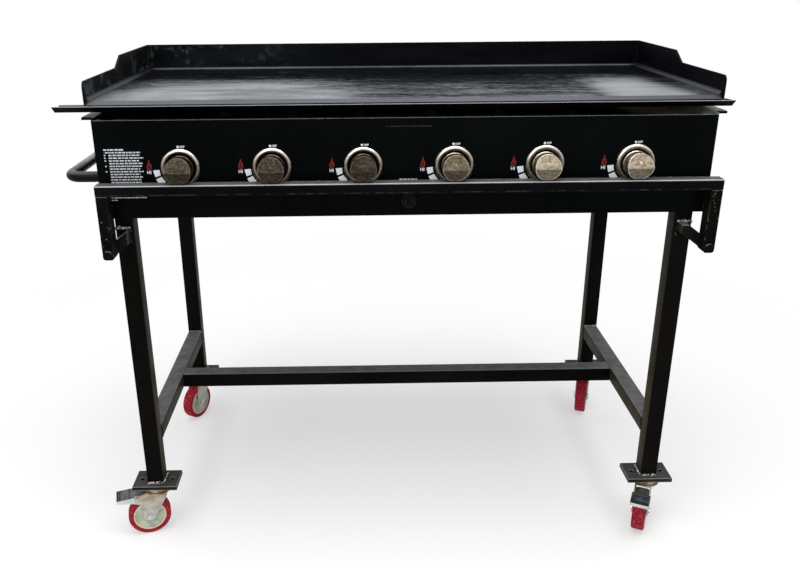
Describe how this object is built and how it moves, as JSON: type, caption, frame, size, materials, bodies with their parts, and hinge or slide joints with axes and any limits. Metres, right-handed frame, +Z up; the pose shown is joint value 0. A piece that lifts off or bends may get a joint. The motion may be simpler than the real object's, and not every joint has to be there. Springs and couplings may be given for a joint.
{
  "type": "outdoor gas griddle station",
  "caption": "Outdoor gas griddle on casters: loose steel griddle tray with splash guards and grease gutter, burner box with control knobs, igniter, side handle and leg frames",
  "frame": {"origin": "on the floor, in the middle of the whole part's footprint at rest", "axes": "+X along the long side to the right of someone who faces the knobs, +Y from the knobs to the back, +Z up"},
  "size_m": [1.32, 0.7114, 1.063],
  "materials": {
    "black_paint": "semi-gloss",
    "griddle_steel": "oiled, blued",
    "zinc": "zinc plated",
    "red_tread": "satin",
    "wheel_core": "satin",
    "knob_metal": "brushed",
    "burner_steel": "mill",
    "valve_brass": "satin",
    "ceramic": "matte",
    "black_plastic": "gloss"
  },
  "bodies": {
    "base": {"front_rail": "black_paint", "rear_rail": "black_paint", "rail_end_caps": "black_paint", "front_brackets": "black_paint", "rear_brackets": "black_paint", "leg_arms": "black_paint", "front_left_leg": "black_paint", "front_right_leg": "black_paint", "rear_left_leg": "black_paint", "rear_right_leg": "black_paint", "left_side_bar": "black_paint", "right_side_bar": "black_paint", "centre_bar": "black_paint", "foot_plates": "black_paint", "caster_heads": "zinc", "front_panel": "black_paint", "burner_box_shell": "black_paint", "side_handle": "black_paint", "badge_plate": "black_paint", "knob_bezels": "knob_metal", "burners": "burner_steel", "burner_supports": "burner_steel", "gas_manifold": "burner_steel", "gas_valves": "valve_brass", "gas_inlet": "valve_brass", "igniter_body": "black_paint", "spark_electrodes": "ceramic", "rail_spacers": "black_paint", "frame_bolts": "zinc"},
    "griddle_tray": {"griddle_plate": "griddle_steel", "rear_splash_guard": "black_paint", "left_splash_guard": "black_paint", "right_splash_guard": "black_paint", "grease_gutter": "black_paint", "tray_feet": "black_paint"},
    "front_left_fork": {"front_left_fork": "zinc", "front_left_axle": "zinc"},
    "front_left_wheel": {"front_left_wheel_tread": "red_tread", "front_left_wheel_hub": "wheel_core"},
    "front_left_pedal": {"front_left_brake_pedal": "zinc"},
    "front_right_fork": {"front_right_fork": "zinc", "front_right_axle": "zinc"},
    "front_right_wheel": {"front_right_wheel_tread": "red_tread", "front_right_wheel_hub": "wheel_core"},
    "front_right_pedal": {"front_right_brake_pedal": "zinc"},
    "rear_left_fork": {"rear_left_fork": "zinc", "rear_left_axle": "zinc"},
    "rear_left_wheel": {"rear_left_wheel_tread": "red_tread", "rear_left_wheel_hub": "wheel_core"},
    "rear_right_fork": {"rear_right_fork": "zinc", "rear_right_axle": "zinc"},
    "rear_right_wheel": {"rear_right_wheel_tread": "red_tread", "rear_right_wheel_hub": "wheel_core"},
    "knob_1": {"knob_1": "knob_metal"},
    "knob_2": {"knob_2": "knob_metal"},
    "knob_3": {"knob_3": "knob_metal"},
    "knob_4": {"knob_4": "knob_metal"},
    "knob_5": {"knob_5": "knob_metal"},
    "knob_6": {"knob_6": "knob_metal"},
    "igniter_button": {"igniter_button": "black_plastic"}
  },
  "joints": [
    {"name": "tray_lift", "type": "slide", "parent": "base", "child": "griddle_tray", "axis": [0, 0, 1], "range_m": [0, 0.15]},
    {"name": "front_left_swivel", "type": "hinge", "parent": "base", "child": "front_left_fork", "pos_m": [-0.538, -0.26097, 0.1137], "axis": [0, 0, 1], "continuous": true},
    {"name": "front_left_roll", "type": "hinge", "parent": "front_left_fork", "child": "front_left_wheel", "pos_m": [-0.56299, -0.26814, 0.048], "axis": [0.2756, -0.9613, 0], "continuous": true},
    {"name": "front_left_brake", "type": "hinge", "parent": "front_left_fork", "child": "front_left_pedal", "pos_m": [-0.59375, -0.27696, 0.099], "axis": [0.2756, -0.9613, 0], "range_deg": [-12, 0]},
    {"name": "front_right_swivel", "type": "hinge", "parent": "base", "child": "front_right_fork", "pos_m": [0.598, -0.26097, 0.1137], "axis": [0, 0, 1], "continuous": true},
    {"name": "front_right_roll", "type": "hinge", "parent": "front_right_fork", "child": "front_right_wheel", "pos_m": [0.58701, -0.28453, 0.048], "axis": [0.9063, -0.4226, 0], "continuous": true},
    {"name": "front_right_brake", "type": "hinge", "parent": "front_right_fork", "child": "front_right_pedal", "pos_m": [0.57349, -0.31353, 0.099], "axis": [0.9063, -0.4226, 0], "range_deg": [-12, 0]},
    {"name": "rear_left_swivel", "type": "hinge", "parent": "base", "child": "rear_left_fork", "pos_m": [-0.538, 0.27323, 0.1137], "axis": [0, 0, 1], "continuous": true},
    {"name": "rear_left_roll", "type": "hinge", "parent": "rear_left_fork", "child": "rear_left_wheel", "pos_m": [-0.5498, 0.25006, 0.048], "axis": [0.891, -0.454, 0], "continuous": true},
    {"name": "rear_right_swivel", "type": "hinge", "parent": "base", "child": "rear_right_fork", "pos_m": [0.598, 0.27323, 0.1137], "axis": [0, 0, 1], "continuous": true},
    {"name": "rear_right_roll", "type": "hinge", "parent": "rear_right_fork", "child": "rear_right_wheel", "pos_m": [0.58911, 0.2488, 0.048], "axis": [0.9397, -0.342, 0], "continuous": true},
    {"name": "knob_1_turn", "type": "hinge", "parent": "base", "child": "knob_1", "pos_m": [-0.4075, -0.34387, 0.878], "axis": [0, -1, 0], "range_deg": [0, 180]},
    {"name": "knob_2_turn", "type": "hinge", "parent": "base", "child": "knob_2", "pos_m": [-0.2305, -0.34387, 0.878], "axis": [0, -1, 0], "range_deg": [0, 180]},
    {"name": "knob_3_turn", "type": "hinge", "parent": "base", "child": "knob_3", "pos_m": [-0.0535, -0.34387, 0.878], "axis": [0, -1, 0], "range_deg": [0, 180]},
    {"name": "knob_4_turn", "type": "hinge", "parent": "base", "child": "knob_4", "pos_m": [0.1235, -0.34387, 0.878], "axis": [0, -1, 0], "range_deg": [0, 180]},
    {"name": "knob_5_turn", "type": "hinge", "parent": "base", "child": "knob_5", "pos_m": [0.3005, -0.34387, 0.878], "axis": [0, -1, 0], "range_deg": [0, 180]},
    {"name": "knob_6_turn", "type": "hinge", "parent": "base", "child": "knob_6", "pos_m": [0.4775, -0.34387, 0.878], "axis": [0, -1, 0], "range_deg": [0, 180]},
    {"name": "igniter_push", "type": "slide", "parent": "base", "child": "igniter_button", "axis": [0, 1, 0], "range_m": [0, 0.004], "stiffness_N_per_m": 1200}
  ]
}
